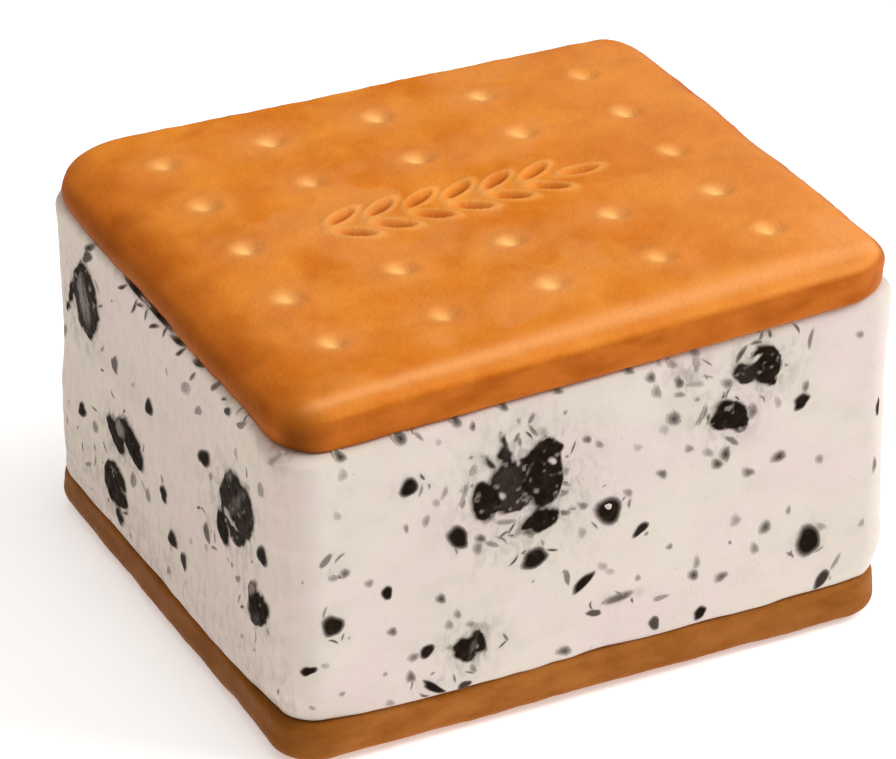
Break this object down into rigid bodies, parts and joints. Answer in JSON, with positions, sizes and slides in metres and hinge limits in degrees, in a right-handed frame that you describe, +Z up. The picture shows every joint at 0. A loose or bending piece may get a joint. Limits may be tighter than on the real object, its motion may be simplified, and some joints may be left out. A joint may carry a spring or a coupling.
{
  "type": "ice cream sandwich",
  "caption": "Block of ice cream with dark cookie chunks between two golden docked biscuits, resting flat on its lower biscuit.",
  "frame": {"origin": "under the middle of the sandwich, on the surface that it rests on", "axes": "+X along the longer side of the biscuits, +Z up through the layers"},
  "size_m": [0.0776, 0.0698, 0.0478],
  "materials": {
    "biscuit": "golden baked biscuit, browner at the rim, slightly glossy",
    "ice_cream": "firm creamy off-white ice cream with fine dark crumbs and grey smears",
    "cookie": "near-black chocolate cookie, rough and crumbly"
  },
  "bodies": {
    "root": {"biscuit_bottom": "biscuit", "biscuit_top": "biscuit", "ice_cream": "ice_cream", "chunk_front_cluster": "cookie", "chunk_front_high": "cookie", "chunk_front_right": "cookie", "chunk_front_low": "cookie", "chunk_left_high": "cookie", "chunk_left_twin": "cookie", "chunk_left_low": "cookie", "chunk_left_large": "cookie", "chunk_left_small": "cookie", "chunk_back_large": "cookie", "chunk_back_high": "cookie", "chunk_back_low": "cookie", "chunk_right_large": "cookie", "chunk_right_low": "cookie", "chunk_right_small": "cookie"}
  },
  "joints": []
}
